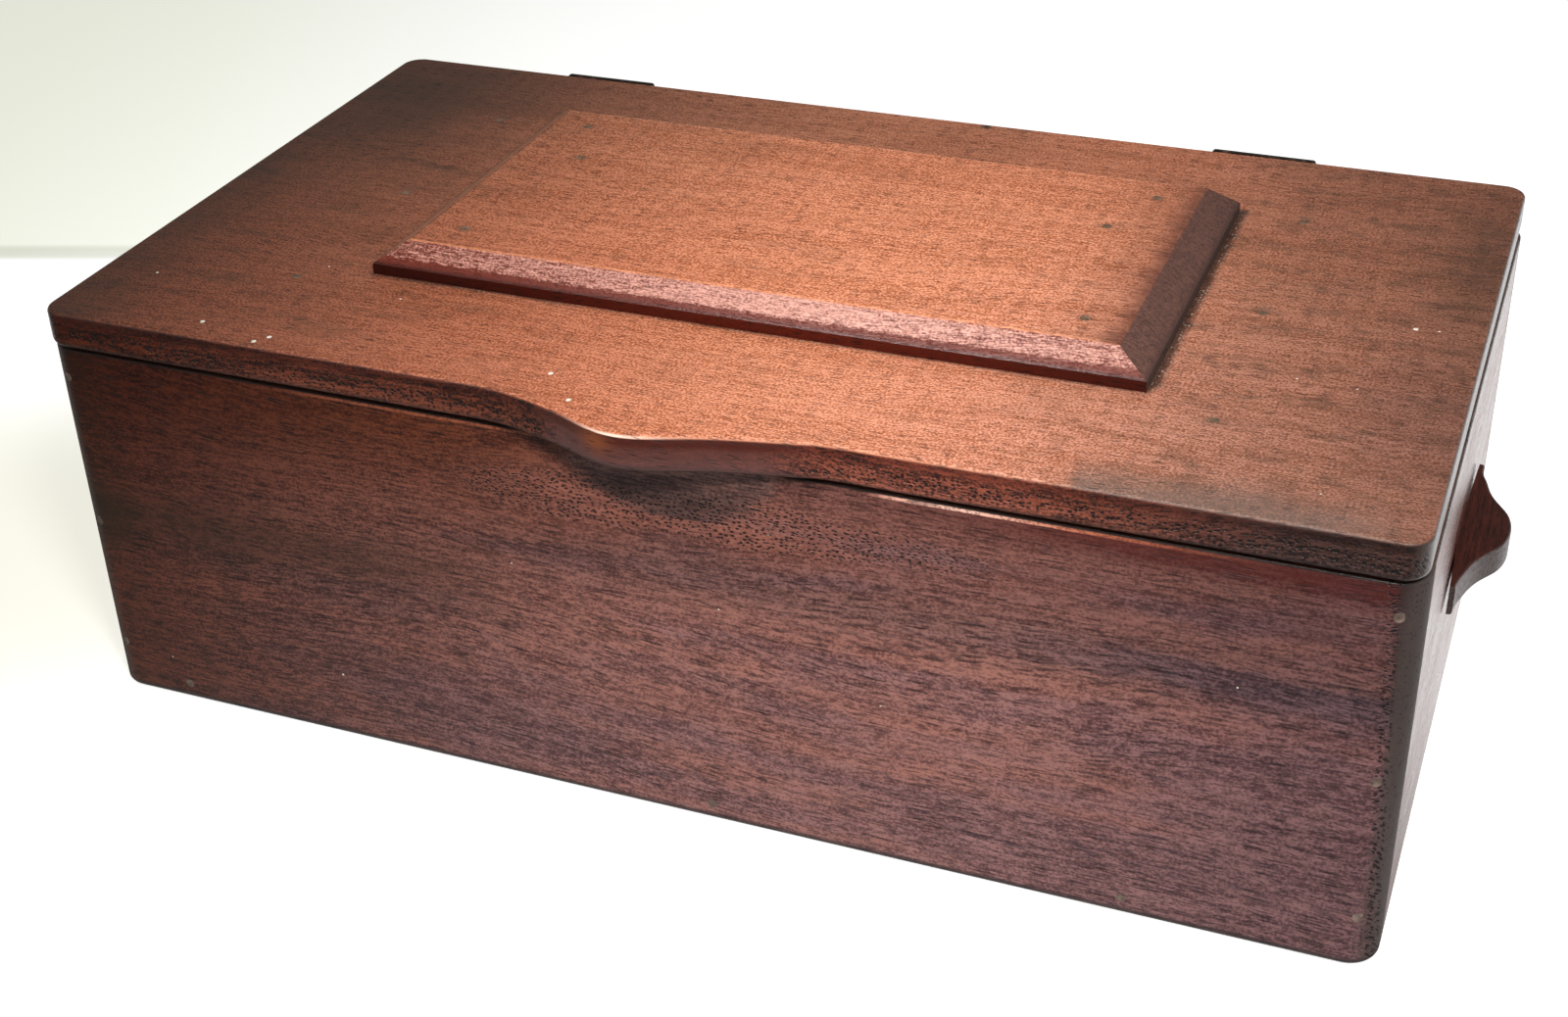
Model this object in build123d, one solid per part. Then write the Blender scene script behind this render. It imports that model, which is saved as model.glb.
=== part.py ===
from build123d import *
import os

# A small mahogany box for papers and keepsakes: four nailed boards round a let-in bottom, and a
# flat lid on two butt hinges, with a raised panel on top and a carved lip to lift it by.
# Millimetres. +X is right along the front, +Y is towards the hinges, +Z is up.
# The origin is the middle of the base that the box stands on.

# Body boards
body_width = 302.0           # over the two end boards
body_depth = 165.2           # over the front and back boards
body_height = 92.5           # base to rim
wall = 9.0                   # thickness of the front, back and end boards
bottom_thickness = 9.0
corner_radius = 6.8          # rounded upright corners of the body
base_arris = 1.6             # softened edge round the base
rim_arris = 0.7              # softened outer edge of the rim

# Lid board
lid_gap = 0.8                # daylight between rim and lid
lid_thickness = 8.8
lid_side_inset = 1.0         # lid is this much narrower than the body at each side
lid_shift = 0.6              # lid sits a little to the right of the body
lid_front_overhang = 1.6     # straight front edge stands proud of the front board
lid_corner_radius = 5.2
lid_top_arris = 0.9
lid_bottom_arris = 1.9

# Carved lip on the lid's front edge, an ogee each side of a blunt nose
lip_reach = 9.2              # nose beyond the straight front edge
lip_offset = -6.2            # nose from the middle of the lid
lip_left_run = 38.0          # nose to the end of the left curve
lip_right_run = 50.0         # nose to the end of the right curve
lip_curve = ((0.15, 0.88), (0.3, 0.63), (0.5, 0.35), (0.75, 0.08))  # shares of run and reach

# Raised panel nailed on the lid
panel_width = 177.0
panel_depth = 92.0
panel_height = 7.3
panel_edge_band = 2.4        # upright edge below the bevel
panel_end_bevel = 7.2        # width of the bevel at the two ends
panel_side_bevel = 5.0       # width of the bevel at front and back
panel_arris = 1.6            # softened edge between bevel and top
panel_shift_x = 0.4          # middle of the panel from the middle of the lid
panel_shift_y = 2.6

# Battens under the lid
batten_width = 18.0
batten_drop = 8.0            # how far a batten hangs below the lid
batten_side_gap = 29.0       # batten to end board
batten_front_gap = 4.6       # batten to front board
batten_back_gap = 8.6        # batten to back board
batten_chamfer = 1.5

# Carrying ears at the two ends
ear_reach = 10.3             # nose beyond the end board
ear_tail = 1.9               # thin ends, measured from the end board
ear_run = 26.3               # nose to each end
ear_foot = 8.0               # nose to each end of the flat that touches the end board
ear_lift = 0.7               # the thin ends have sprung this far off the end board
ear_thickness = 7.0
ear_height = 54.5            # base to the middle of the ear
ear_arris = 0.7
ear_curve = ((0.15, 0.95), (0.26, 0.84), (0.41, 0.56), (0.56, 0.32), (0.76, 0.13))

# Butt hinges, one inch long, screwed on the outside of the back
hinge_length = 25.4
hinge_end_inset = 50.0       # end of the body to the near end of the hinge
leaf_width = 9.3             # pin centre to the leaf's edge
leaf_thickness = 1.0
knuckle_radius = 1.9
pin_radius = 1.0
pin_fit = 0.05               # radial clearance where the lid leaf turns on the pin
pin_hold = 0.01              # radial clearance where the box leaf grips the pin
knuckle_gap = 0.2            # between neighbouring knuckles, and round a knuckle
leaf_corner = 0.8

# Nails, cut brads with small flat heads
nail_head_radius = 1.1
nail_head_thickness = 0.8
nail_radius = 0.75
nail_point = 2.5
board_nail_length = 22.0
nail_fit = 0.02              # radial clearance of a nail or screw in its hole
corner_nail_heights = (13.0, 47.0, body_height - 7.5)
bottom_nail_end = 12.5       # first bottom nail from the left end of the bottom board
bottom_nail_middle = 7.0     # second one from the middle of the box
bottom_nail_right = 43.0     # third one from the right end of the bottom board
panel_nail_end = 16.5        # panel nails from the ends of the panel
panel_nail_side = 14.0       # and from its front and back
panel_pair_end = 23.5        # second pair of panel nails from the ends
panel_pair_shift = 13.5      # and behind the middle of the panel
batten_nail_end = 18.0       # batten nails from the ends of the batten
nail_cover = 1.2             # wood left over the point of a nail or screw

# Countersunk slotted screws
hinge_screw_head = 2.0       # radius
hinge_screw_radius = 0.95
hinge_screw_length = 8.0
hinge_screw_spread = 8.0     # screw from the middle of the hinge
hinge_screw_rise = 5.4       # screw from the pin centre
ear_screw_head = 2.8         # radius
ear_screw_radius = 1.3
ear_screw_grip = 6.5         # how far the ear screws reach into the ear
ear_screw_spread = 7.0       # screw from the nose of the ear
slot_width = 0.5
slot_depth = 0.35

# Lines that several pieces share
half_width = body_width / 2
half_depth = body_depth / 2
inner_half_width = half_width - wall
inner_half_depth = half_depth - wall
lid_bottom = body_height + lid_gap
lid_top = lid_bottom + lid_thickness
lid_width = body_width - 2 * lid_side_inset
lid_front = -half_depth - lid_front_overhang
lid_depth = half_depth - lid_front
lid_middle_y = (half_depth + lid_front) / 2
panel_x = lid_shift + panel_shift_x
panel_y = lid_middle_y + panel_shift_y
panel_top = lid_top + panel_height
batten_length = 2 * inner_half_depth - batten_front_gap - batten_back_gap
batten_y = (batten_front_gap - batten_back_gap) / 2
batten_x = inner_half_width - batten_side_gap - batten_width / 2
hinge_x = half_width - hinge_end_inset - hinge_length / 2
pin_y = half_depth + knuckle_radius
pin_z = body_height + lid_gap / 2
hole_overrun = 1.0           # a hole's cutter starts this far outside the wood

OUT_FRONT = (0, -1, 0)
OUT_BACK = (0, 1, 0)
OUT_TOP = (0, 0, 1)


def block(low, high):
    """Rectangular solid between two opposite corners."""
    size = [b - a for a, b in zip(low, high)]
    middle = [(a + b) / 2 for a, b in zip(low, high)]
    return Pos(*middle) * Box(*size)


def upright(radius, top, bottom):
    """Round bar on the Z axis between two heights."""
    return Pos(0, 0, (top + bottom) / 2) * Cylinder(radius, top - bottom)


def cone_down(radius, end_radius, top, depth):
    """Cone on the Z axis that narrows from radius at the top to end_radius below."""
    return Pos(0, 0, top - depth / 2) * Cone(end_radius, radius, depth)


def nail(length, clearance=0.0, overrun=0.0):
    """Nail with the top of its head at the origin, driven towards -Z."""
    neck = nail_point - length - clearance
    head = upright(nail_head_radius + clearance, overrun, -nail_head_thickness - clearance)
    shank = upright(nail_radius + clearance, 0, neck)
    point = cone_down(nail_radius + clearance, 0.15 * nail_radius, neck, nail_point)
    return head + shank + point


def screw(length, radius, head_radius, clearance=0.0, overrun=0.0):
    """Countersunk slotted screw with the top of its head at the origin, driven towards -Z."""
    head_depth = head_radius - radius
    shank = upright(radius + clearance, 0, -length - clearance)
    head = cone_down(head_radius + clearance, radius + clearance, 0, head_depth)
    if overrun:
        return shank + head + upright(head_radius + clearance, overrun, 0)
    slot = Box(2 * head_radius, slot_width, 2 * slot_depth)
    return shank + head - slot


def placed(shape, point, outward):
    """Turn a fastener so that its head faces outward, with the head's top at the point."""
    return Plane(origin=point, x_dir=(1, 0, 0) if outward[0] == 0 else (0, 1, 0), z_dir=outward) * shape


def nails_at(places, outward, length):
    return [placed(nail(length), point, outward) for point in places]


def nail_holes(places, outward, length):
    return [placed(nail(length, nail_fit, hole_overrun), point, outward) for point in places]


def bored(board, holes):
    for hole in holes:
        board = board - hole
    return board


def ogee(nose, reach, left_run, right_run, curve):
    """Points of a bell-shaped edge from left to right, standing out towards -Y from the nose's base."""
    x, y = nose
    left = [(x - share * left_run, y - part * reach) for share, part in reversed(curve)]
    right = [(x + share * right_run, y - part * reach) for share, part in curve]
    ends = (x - left_run, y), (x + right_run, y)
    return [ends[0], *left, (x, y - reach), *right, ends[1]]


def save(name, shape):
    solids = shape if isinstance(shape, list) else [shape]
    export_step(solids[0] if len(solids) == 1 else Compound(solids), f"parts/{name}.step")


def save_pair(name, right_shape):
    """Save a right-hand piece and its mirror image at the left."""
    save(f"right_{name}", right_shape)
    save(f"left_{name}", mirror(right_shape, about=Plane.YZ))


os.makedirs("parts", exist_ok=True)

# Nail and screw places
corner_nail_x = half_width - wall / 2
bottom_nail_xs = (-inner_half_width + bottom_nail_end, bottom_nail_middle,
                  inner_half_width - bottom_nail_right)
corner_points = [(side * corner_nail_x, z) for side in (-1, 1) for z in corner_nail_heights]
bottom_points = [(x, bottom_thickness / 2) for x in bottom_nail_xs]
front_corner_places = [(x, -half_depth, z) for x, z in corner_points]
back_corner_places = [(x, half_depth, z) for x, z in corner_points]
front_bottom_places = [(x, -half_depth, z) for x, z in bottom_points]
back_bottom_places = [(x, half_depth, z) for x, z in bottom_points]
front_holes = nail_holes(front_corner_places + front_bottom_places, OUT_FRONT, board_nail_length)
back_holes = nail_holes(back_corner_places + back_bottom_places, OUT_BACK, board_nail_length)

ear_screw_length = wall + ear_screw_grip
ear_screw_places = [(inner_half_width, side * ear_screw_spread, ear_height) for side in (-1, 1)]
ear_screws = [placed(screw(ear_screw_length, ear_screw_radius, ear_screw_head), point, (-1, 0, 0))
              for point in ear_screw_places]
ear_screw_holes = [placed(screw(ear_screw_length, ear_screw_radius, ear_screw_head, nail_fit, hole_overrun),
                          point, (-1, 0, 0)) for point in ear_screw_places]

hinge_screw_offsets = [side * hinge_screw_spread for side in (-1, 1)]
leaf_face = half_depth + leaf_thickness


def hinge_screw_places(rise):
    return [(hinge_x + dx, leaf_face, pin_z + rise) for dx in hinge_screw_offsets]


def hinge_screws(rise):
    one = screw(hinge_screw_length, hinge_screw_radius, hinge_screw_head)
    return [placed(one, point, OUT_BACK) for point in hinge_screw_places(rise)]


def hinge_screw_holes(rise):
    one = screw(hinge_screw_length, hinge_screw_radius, hinge_screw_head, nail_fit, hole_overrun)
    return [placed(one, point, OUT_BACK) for point in hinge_screw_places(rise)]


def both_sides(shapes):
    return shapes + [mirror(shape, about=Plane.YZ) for shape in shapes]


box_screw_holes = both_sides(hinge_screw_holes(-hinge_screw_rise))
lid_screw_holes = both_sides(hinge_screw_holes(hinge_screw_rise))

# Body: one rounded block, divided into boards. Front and back lap the ends of the end boards.
body_outline = RectangleRounded(body_width, body_depth, min(corner_radius, 0.9 * wall))
body_form = extrude(body_outline, body_height)
body_form = fillet(body_form.faces().sort_by(Axis.Z)[0].edges(), base_arris)
body_form = fillet(body_form.faces().sort_by(Axis.Z)[-1].edges(), rim_arris)

front_board = body_form & block((-half_width, -half_depth, 0), (half_width, -inner_half_depth, body_height))
back_board = body_form & block((-half_width, inner_half_depth, 0), (half_width, half_depth, body_height))
right_end = body_form & block((inner_half_width, -inner_half_depth, 0),
                              (half_width, inner_half_depth, body_height))
bottom_board = block((-inner_half_width, -inner_half_depth, 0),
                     (inner_half_width, inner_half_depth, bottom_thickness))

save("front_board", bored(front_board, front_holes))
save("back_board", bored(back_board, back_holes + box_screw_holes))
save_pair("end_board", bored(right_end, front_holes + back_holes + ear_screw_holes))
save("bottom_board", bored(bottom_board, front_holes + back_holes))

# Nails of the body. The corner ones are dressed flush with the rounded corners.
save("front_corner_nails", [one & body_form for one in
                            nails_at(front_corner_places, OUT_FRONT, board_nail_length)])
save("back_corner_nails", [one & body_form for one in
                           nails_at(back_corner_places, OUT_BACK, board_nail_length)])
save("bottom_nails", nails_at(front_bottom_places, OUT_FRONT, board_nail_length)
     + nails_at(back_bottom_places, OUT_BACK, board_nail_length))

# Carrying ear: a bell-shaped lug with thin ends, flat against the end board in the middle
ear_edge = ogee((0, -ear_tail), ear_reach - ear_tail, ear_run, ear_run, ear_curve)
ear_back = Polyline((ear_run, -ear_tail), (ear_run, -ear_lift), (ear_foot, 0),
                    (-ear_foot, 0), (-ear_run, -ear_lift), (-ear_run, -ear_tail))
ear_bell = Spline(ear_edge, tangents=[(1, 0), (1, 0)])
ear = extrude(make_face([*ear_back.edges(), ear_bell]), ear_thickness)
ear_rim = ear.faces().sort_by(Axis.Z)[0].edges() + ear.faces().sort_by(Axis.Z)[-1].edges()
ear = fillet(ear_rim.filter_by(GeomType.BSPLINE), min(ear_arris, 0.45 * ear_tail))
right_ear = Pos(half_width, 0, ear_height - ear_thickness / 2) * Rot(0, 0, 90) * ear
save_pair("carrying_ear", bored(right_ear, ear_screw_holes))
save_pair("ear_screws", ear_screws[0] + ear_screws[1])

# Lid board with the carved lip
lid_outline = Pos(lid_shift, lid_middle_y) * RectangleRounded(lid_width, lid_depth, lid_corner_radius)
lip_nose = (lid_shift + lip_offset, lid_front)
lip_edge = ogee(lip_nose, lip_reach, lip_left_run, lip_right_run, lip_curve)
lip_line = Spline(lip_edge, tangents=[(1, 0), (1, 0)])
lip_root = Polyline(lip_edge[-1], (lip_edge[-1][0], lid_middle_y), (lip_edge[0][0], lid_middle_y), lip_edge[0])
lid_face = lid_outline + make_face([lip_line, *lip_root.edges()])
lid = Pos(0, 0, lid_bottom) * extrude(lid_face, lid_thickness)
lid = fillet(lid.faces().sort_by(Axis.Z)[-1].edges(), lid_top_arris)
lid = fillet(lid.faces().sort_by(Axis.Z)[0].edges(), lid_bottom_arris)

panel_nail_length = panel_height + lid_thickness - nail_cover
panel_corner_x = panel_width / 2 - panel_nail_end
panel_corner_y = panel_depth / 2 - panel_nail_side
panel_pair_x = panel_width / 2 - panel_pair_end
panel_offsets = [(side * panel_corner_x, row * panel_corner_y) for side in (-1, 1) for row in (-1, 1)]
panel_offsets += [(side * panel_pair_x, panel_pair_shift) for side in (-1, 1)]
panel_nail_places = [(panel_x + dx, panel_y + dy, panel_top) for dx, dy in panel_offsets]
panel_nail_holes = nail_holes(panel_nail_places, OUT_TOP, panel_nail_length)

batten_nail_length = lid_thickness + batten_drop - nail_cover
batten_nail_reach = batten_length / 2 - batten_nail_end
batten_nail_places = [(lid_shift + side * batten_x, batten_y + step * batten_nail_reach, lid_top)
                      for side in (-1, 1) for step in (-1, 0, 1)]
batten_nail_holes = nail_holes(batten_nail_places, OUT_TOP, batten_nail_length)

save("lid_board", bored(lid, panel_nail_holes + batten_nail_holes + lid_screw_holes))
save("panel_nails", nails_at(panel_nail_places, OUT_TOP, panel_nail_length))
save("batten_nails", nails_at(batten_nail_places, OUT_TOP, batten_nail_length))

# Raised panel: an upright edge band, a mitred bevel and a flat top with softened edges
panel_base = Rectangle(panel_width, panel_depth)
panel_flat = Rectangle(panel_width - 2 * panel_end_bevel, panel_depth - 2 * panel_side_bevel)
panel = extrude(panel_base, panel_edge_band)
panel += loft([Pos(0, 0, panel_edge_band) * panel_base, Pos(0, 0, panel_height) * panel_flat], ruled=True)
panel = fillet(panel.faces().sort_by(Axis.Z)[-1].edges(), panel_arris)
save("raised_panel", bored(Pos(panel_x, panel_y, lid_top) * panel, panel_nail_holes))

# Battens across the underside of the lid
batten = block((-batten_width / 2, -batten_length / 2, -batten_drop), (batten_width / 2, batten_length / 2, 0))
batten = chamfer(batten.faces().sort_by(Axis.Z)[0].edges(), batten_chamfer)
for name, side in (("left_batten", -1), ("right_batten", 1)):
    in_place = Pos(lid_shift + side * batten_x, batten_y, lid_bottom) * batten
    save(name, bored(in_place, batten_nail_holes))

# Butt hinges: three knuckles each, the outer two on the box leaf and the middle one on the lid leaf
knuckle_length = (hinge_length - 2 * knuckle_gap) / 3
knuckle_pitch = knuckle_length + knuckle_gap
notch_length = knuckle_length + 2 * knuckle_gap


def along_pin(radius, length, shift=0.0):
    return Pos(hinge_x + shift, pin_y, pin_z) * Rot(0, 90, 0) * Cylinder(radius, length)


def leaf_plate(direction):
    """Plate from the pin's height, up for the lid leaf or down for the box leaf."""
    reach = leaf_width * direction
    low = (hinge_x - hinge_length / 2, half_depth, min(pin_z, pin_z + reach))
    high = (hinge_x + hinge_length / 2, leaf_face, max(pin_z, pin_z + reach))
    plate = block(low, high)
    far = plate.edges().filter_by(Axis.Y).sort_by(Axis.Z)
    return fillet(far[-2:] if direction > 0 else far[:2], leaf_corner)


outer_shifts = (-knuckle_pitch, knuckle_pitch)
outer_knuckles = [along_pin(knuckle_radius, knuckle_length, shift) for shift in outer_shifts]
outer_notches = [along_pin(knuckle_radius + knuckle_gap, knuckle_length + 2 * knuckle_gap, shift)
                 for shift in outer_shifts]
middle_knuckle = along_pin(knuckle_radius, knuckle_length)
middle_notch = along_pin(knuckle_radius + knuckle_gap, notch_length)

box_leaf = leaf_plate(-1) - middle_notch + outer_knuckles[0] + outer_knuckles[1]
box_leaf = box_leaf - along_pin(pin_radius + pin_hold, 2 * hinge_length)
lid_leaf = bored(leaf_plate(1), outer_notches) + middle_knuckle
lid_leaf = lid_leaf - along_pin(pin_radius + pin_fit, 2 * hinge_length)

save_pair("hinge_box_leaf", bored(box_leaf, hinge_screw_holes(-hinge_screw_rise)))
save_pair("hinge_lid_leaf", bored(lid_leaf, hinge_screw_holes(hinge_screw_rise)))
save_pair("hinge_pin", along_pin(pin_radius, hinge_length))
save("hinge_box_screws", both_sides(hinge_screws(-hinge_screw_rise)))
save("hinge_lid_screws", both_sides(hinge_screws(hinge_screw_rise)))
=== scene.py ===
"""Small mahogany keepsake box with a hinged lid, dressed for the camera."""

import math

import bpy
import numpy as np
from mathutils import Matrix, Vector

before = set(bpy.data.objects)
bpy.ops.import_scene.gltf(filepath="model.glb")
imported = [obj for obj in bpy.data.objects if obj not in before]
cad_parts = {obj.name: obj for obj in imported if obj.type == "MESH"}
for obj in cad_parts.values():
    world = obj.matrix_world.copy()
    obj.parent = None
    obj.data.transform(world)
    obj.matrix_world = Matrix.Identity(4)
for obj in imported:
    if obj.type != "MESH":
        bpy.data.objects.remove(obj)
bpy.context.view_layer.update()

# The table top that the box stands on and the light over it: a sheet of white board, a soft
# lamp close above the front of the lid, one to the left and a wide one behind. The camera
# stands in front, to the right and above.

camera_place = Vector((0.17034, -0.43262, 0.31695))
camera_aim = Vector((0.00865, -0.04032, 0.060))
camera_roll = math.radians(-1.878)
camera = bpy.data.objects.new("camera", bpy.data.cameras.new("camera"))
bpy.context.scene.collection.objects.link(camera)
turn_to_aim = (camera_aim - camera_place).to_track_quat("-Z", "Y").to_matrix()
camera.matrix_world = (
    Matrix.Translation(camera_place)
    @ (turn_to_aim @ Matrix.Rotation(camera_roll, 3, "Z")).to_4x4()
)
camera.data.sensor_width = 36.0
camera.data.lens = 51.165
camera.data.shift_x = 0.0012
camera.data.shift_y = -0.0082
bpy.context.scene.camera = camera
bpy.context.scene.view_settings.view_transform = "Standard"


class Shade:
    """One output socket of a finish. Arithmetic on it adds Math nodes, and node() adds any other."""

    def __init__(self, tree, socket=None):
        self.tree = tree
        self.socket = socket

    def node(self, kind, settings, sockets, output=0):
        """Adds a node: its settings first, then the values or links of its sockets."""
        made = self.tree.nodes.new("ShaderNode" + kind)
        for name, value in settings.items():
            setattr(made, name, value)
        for name, value in sockets.items():
            if isinstance(value, Shade):
                self.tree.links.new(value.socket, made.inputs[name])
            else:
                made.inputs[name].default_value = value
        return Shade(self.tree, made.outputs[output] if len(made.outputs) else None)

    def other(self, output):
        """Another output of the node that this shade comes from."""
        return Shade(self.tree, self.socket.node.outputs[output])

    def maths(self, operation, *values):
        """The result of one arithmetic operation on the values."""
        return self.node("Math", {"operation": operation}, dict(enumerate(values)))

    def __add__(self, other):
        return self.maths("ADD", self, other)

    def __sub__(self, other):
        return self.maths("SUBTRACT", self, other)

    def __rsub__(self, other):
        return self.maths("SUBTRACT", other, self)

    def __mul__(self, other):
        return self.maths("MULTIPLY", self, other)

    def __truediv__(self, other):
        return self.maths("DIVIDE", self, other)

    __radd__ = __add__
    __rmul__ = __mul__

    def size(self):
        """The value without its sign."""
        return self.maths("ABSOLUTE", self)

    def larger(self, other):
        """The larger of this value and the other."""
        return self.maths("MAXIMUM", self, other)

    def rise(self, low, high):
        """0 where the value is low and 1 where it is high. Between them it is 3 t t - 2 t t t, for t
        the share of the way."""
        return self.node("MapRange", {"interpolation_type": "SMOOTHSTEP"},
                         {"Value": self, "From Min": low, "From Max": high})

    def mix(self, share, first, second, how="MIX"):
        """The first colour where share is 0 and the second, laid on in the given way, where it is 1."""
        return self.node("Mix", {"data_type": "RGBA", "blend_type": how},
                         {0: share, 6: first, 7: second}, output=2)

    def tint(self, share, first, second):
        """The first colour where share is 0, and the first times the second where it is 1."""
        return self.mix(share, first, second, how="MULTIPLY")

    def parts(self):
        """The x, y and z of this vector, as three values."""
        across = self.node("SeparateXYZ", {}, {0: self})
        return across, across.other(1), across.other(2)


def new_finish(name):
    """An empty material and the shade that its nodes are made from."""
    material = bpy.data.materials.new(name)
    material.use_nodes = True
    material.node_tree.nodes.clear()
    return material, Shade(material.node_tree)


def set_surface(surface, shader):
    """Joins a shader to the material's output."""
    surface.node("OutputMaterial", {}, {"Surface": shader})


white = (1.0, 1.0, 1.0, 1.0)
table_white = (0.62, 0.62, 0.61, 1.0)
far_paper = (0.85, 0.87, 0.76, 1.0)
wall_foot_shade = (0.66, 0.68, 0.58, 1.0)
shaded_white = (0.86, 0.85, 0.76, 1.0)
far_line_slope = (-0.309, 0.951)
far_line_distance = 0.2152
table_glow_seen = 0.72
front_glow_mirrored = 0.36
back_glow_mirrored = 1.20
dim_glow_mirrored = 0.04
table_half = 3.0
table_lines = 25
table_height = -0.0001

steps = np.linspace(-table_half, table_half, table_lines)
grid_x, grid_y = np.meshgrid(steps, steps)
corners = np.stack([grid_x, grid_y, np.full_like(grid_x, table_height)], axis=-1).reshape(-1, 3)
row_starts = np.arange(table_lines - 1)[:, None] * table_lines
first = (row_starts + np.arange(table_lines - 1)).ravel()
squares = np.stack([first, first + 1, first + 1 + table_lines, first + table_lines], axis=1)
table_mesh = bpy.data.meshes.new("table_top")
table_mesh.from_pydata(corners, [], squares)
table = bpy.data.objects.new("table_top", table_mesh)
bpy.context.scene.collection.objects.link(table)

table_paint, sheet = new_finish("table_paint")
place = sheet.node("TexCoord", {}, {}, output="Object")
x, y, z = place.parts()
beyond = x * far_line_slope[0] + y * far_line_slope[1] - far_line_distance
left_side = (x + y * 0.35).rise(-0.05, -0.36)
tone = sheet.mix(beyond.rise(-0.001, 0.002) * left_side, white, far_paper)
# painted shade: a thin darker line on the floor where the backdrop meets it
tone = sheet.mix((beyond * beyond).rise(0.000050, 0.0) * left_side, tone, wall_foot_shade)
from_shade_x = (x + 0.215) / 0.065
from_shade_y = (y + 0.035) / 0.060
shade = (from_shade_x * from_shade_x + from_shade_y * from_shade_y).rise(3.0, 0.0)
tone = sheet.mix(shade, tone, shaded_white)
camera_ray = sheet.node("LightPath", {}, {}, output="Is Camera Ray")
mirror_ray = camera_ray.other("Is Glossy Ray") + camera_ray.other("Is Transmission Ray")
matt = sheet.node("BsdfDiffuse", {}, {"Color": sheet.tint(1.0, tone, table_white)})
lit = sheet.node("Emission", {}, {"Color": tone, "Strength": camera_ray * table_glow_seen})
in_front = y.rise(-0.26, -0.10) * (x.rise(-0.34, -0.04) * 0.7 + 0.3)
at_back = y.rise(-0.10, 0.04)
mirrored = in_front * front_glow_mirrored + at_back * back_glow_mirrored + dim_glow_mirrored
mirror_side = sheet.node("Emission", {}, {"Color": tone, "Strength": mirrored})
open_side = sheet.node("AddShader", {}, {0: matt, 1: lit})
set_surface(sheet, sheet.node("MixShader", {}, {0: mirror_ray, 1: open_side, 2: mirror_side}))
table_mesh.materials.append(table_paint)

room_white = (1.0, 0.995, 0.98, 1.0)
room_strength = 0.17

world = bpy.data.worlds.new("room_light")
bpy.context.scene.world = world
world.use_nodes = True
world.node_tree.nodes.clear()
air = Shade(world.node_tree)
camera_ray = air.node("LightPath", {}, {}, output="Is Camera Ray")
mirror_ray = camera_ray.other("Is Glossy Ray") + camera_ray.other("Is Transmission Ray")
direction = air.node("TexCoord", {}, {}, output="Generated")
x, y, z = direction.parts()
overhead = z.rise(0.05, 0.45)
backdrop = camera_ray * (1 - overhead * 0.75)
mirrored = mirror_ray * (0.55 - overhead * 0.43)
plain = (1 - camera_ray - mirror_ray) * room_strength
strength = backdrop + mirrored + plain
light = air.node("Background", {}, {"Color": room_white, "Strength": strength})
air.node("OutputWorld", {}, {"Surface": light})


def soft_lamp(name, place, aim, width, power, spread, colour, mirrored=True):
    """A square lamp of a width, at a place, turned to an aim. Polish may or may not mirror it."""
    lamp = bpy.data.lights.new(name, "AREA")
    lamp.size = width
    lamp.energy = power
    lamp.spread = math.radians(spread)
    lamp.color = colour
    held = bpy.data.objects.new(name, lamp)
    held.location = place
    held.rotation_euler = (Vector(aim) - Vector(place)).to_track_quat("-Z", "Y").to_euler()
    held.visible_camera = False
    held.visible_glossy = mirrored
    bpy.context.scene.collection.objects.link(held)


soft_lamp("lamp_over_front", (0.24, -0.39, 0.49), (0.055, -0.075, 0.09),
          width=0.10, power=0.45, spread=62.0, colour=(1.0, 0.97, 0.92))
soft_lamp("lamp_left", (-0.16, -0.44, 0.72), (0.03, -0.06, 0.10),
          width=0.16, power=0.72, spread=90.0, colour=(1.0, 0.99, 0.97))
soft_lamp("lamp_behind", (0.40, 0.45, 0.60), (0.08, 0.06, 0.02),
          width=0.40, power=1.05, spread=120.0, colour=(0.96, 0.98, 1.0), mirrored=False)

# The bottom board: one flat mahogany board, 9 mm thick, let in between the four walls and held
# by brass nails through the front and back boards. Its wood was left bare and never polished.


def in_millimetres(surface):
    """The place on the object in mm, which is its coordinates times 1000."""
    place = surface.node("TexCoord", {}, {}, output="Object")
    return surface.node("VectorMath", {"operation": "SCALE"}, {0: place, "Scale": 1000.0})


def divided(wood, grain, cell):
    """A place over three lengths, so that 1 is one cell of a pattern."""
    return wood.node("VectorMath", {"operation": "DIVIDE"}, {0: grain, 1: cell})


def cloud(wood, grain, cell, detail=2.0, rough=0.5):
    """Soft noise from 0 to 1, whose lumps have the cell's lengths along, across and through the
    grain, in mm."""
    spot = divided(wood, grain, cell)
    return wood.node("TexNoise", {}, {"Vector": spot, "Scale": 1.0, "Detail": detail, "Roughness": rough})


def pore_marks(wood, grain, cell, radius, share, dimensions="2D"):
    """1 in a pore and 0 outside: a share of the cells holds one, with the given radius in cell lengths."""
    spot = divided(wood, grain, cell)
    away = wood.node("TexVoronoi", {"feature": "F1", "voronoi_dimensions": dimensions},
                     {"Vector": spot, "Scale": 1.0})
    chance, size, _ = away.other("Color").parts()
    return (away + size * radius * 0.4).rise(radius, radius * 0.72) * chance.rise(1 - share, 1.02 - share)


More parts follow.
